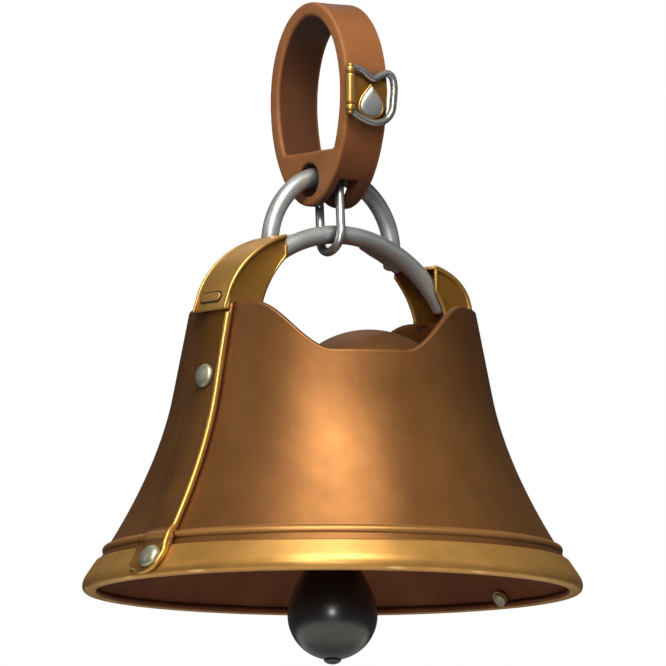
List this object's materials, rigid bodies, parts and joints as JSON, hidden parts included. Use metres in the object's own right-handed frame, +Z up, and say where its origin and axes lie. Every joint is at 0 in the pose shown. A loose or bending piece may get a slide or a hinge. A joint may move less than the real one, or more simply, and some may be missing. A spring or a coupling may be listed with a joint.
{
  "type": "handbell",
  "caption": "Flared bell with scalloped collar and rim band, hung by brass arms, a steel hoop and arch from a leather carry loop, with a pivoted ball clapper.",
  "frame": {"origin": "centre of the bell's mouth plane, on the bell's axis", "axes": "+Z up the bell's axis to the carry loop; +X towards the right bail arm, so the bail's hoop and arch lie parallel to XZ; +Y to the back, the clasp is on the -Y side"},
  "size_m": [0.1866, 0.1808, 0.2404],
  "materials": {
    "copper": "brown patinated copper alloy, satin",
    "brass": "aged satin brass",
    "brass_dark": "dark patinated brass",
    "nickel": "dull nickel",
    "steel": "grey satin steel",
    "bright_steel": "polished steel",
    "leather": "thick brown leather, waxed",
    "black_iron": "black satin"
  },
  "bodies": {
    "strap": {"leather_strap": "leather", "clasp_plate": "brass", "clasp_pin": "brass", "clasp_stud": "steel", "stud_bezel": "brass", "stud_washer": "brass"},
    "bell": {"bell_shell": "copper", "crown_plate": "copper", "crown_dome": "copper", "rim_band": "brass", "side_strap_left": "brass_dark", "side_strap_right": "brass_dark", "strap_rivets_left": "nickel", "strap_rivets_right": "nickel", "rivet_burrs": "brass", "bail_arm_left": "brass", "bail_arm_right": "brass", "arm_key_left": "brass", "arm_key_right": "brass", "bail_hoop": "steel", "carry_arch": "steel", "clapper_yoke": "steel", "yoke_washer": "steel", "yoke_nut": "steel", "clapper_pin": "steel", "pin_circlip": "steel"},
    "clapper": {"clapper_stem": "steel", "clapper_ball": "black_iron", "clapper_button": "black_iron"},
    "link": {"connector_link": "bright_steel"},
    "clasp": {"clasp_frame": "bright_steel"}
  },
  "joints": [
    {"name": "bell_swing", "type": "hinge", "parent": "strap", "child": "bell", "pos_m": [0.001, 0.0024, 0.1496], "axis": [1, 0, 0], "range_deg": [-20, 20]},
    {"name": "clapper_swing", "type": "hinge", "parent": "bell", "child": "clapper", "pos_m": [0, 0, 0.066], "axis": [1, 0, 0], "range_deg": [-50, 50]},
    {"name": "link_swing", "type": "hinge", "parent": "bell", "child": "link", "pos_m": [0, 0.0024, 0.1517], "axis": [0, 1, 0], "range_deg": [-12, 2]},
    {"name": "clasp_flip", "type": "hinge", "parent": "strap", "child": "clasp", "pos_m": [-0.0092, -0.0235, 0.18], "axis": [0, 0, -1], "range_deg": [0, 110]}
  ]
}
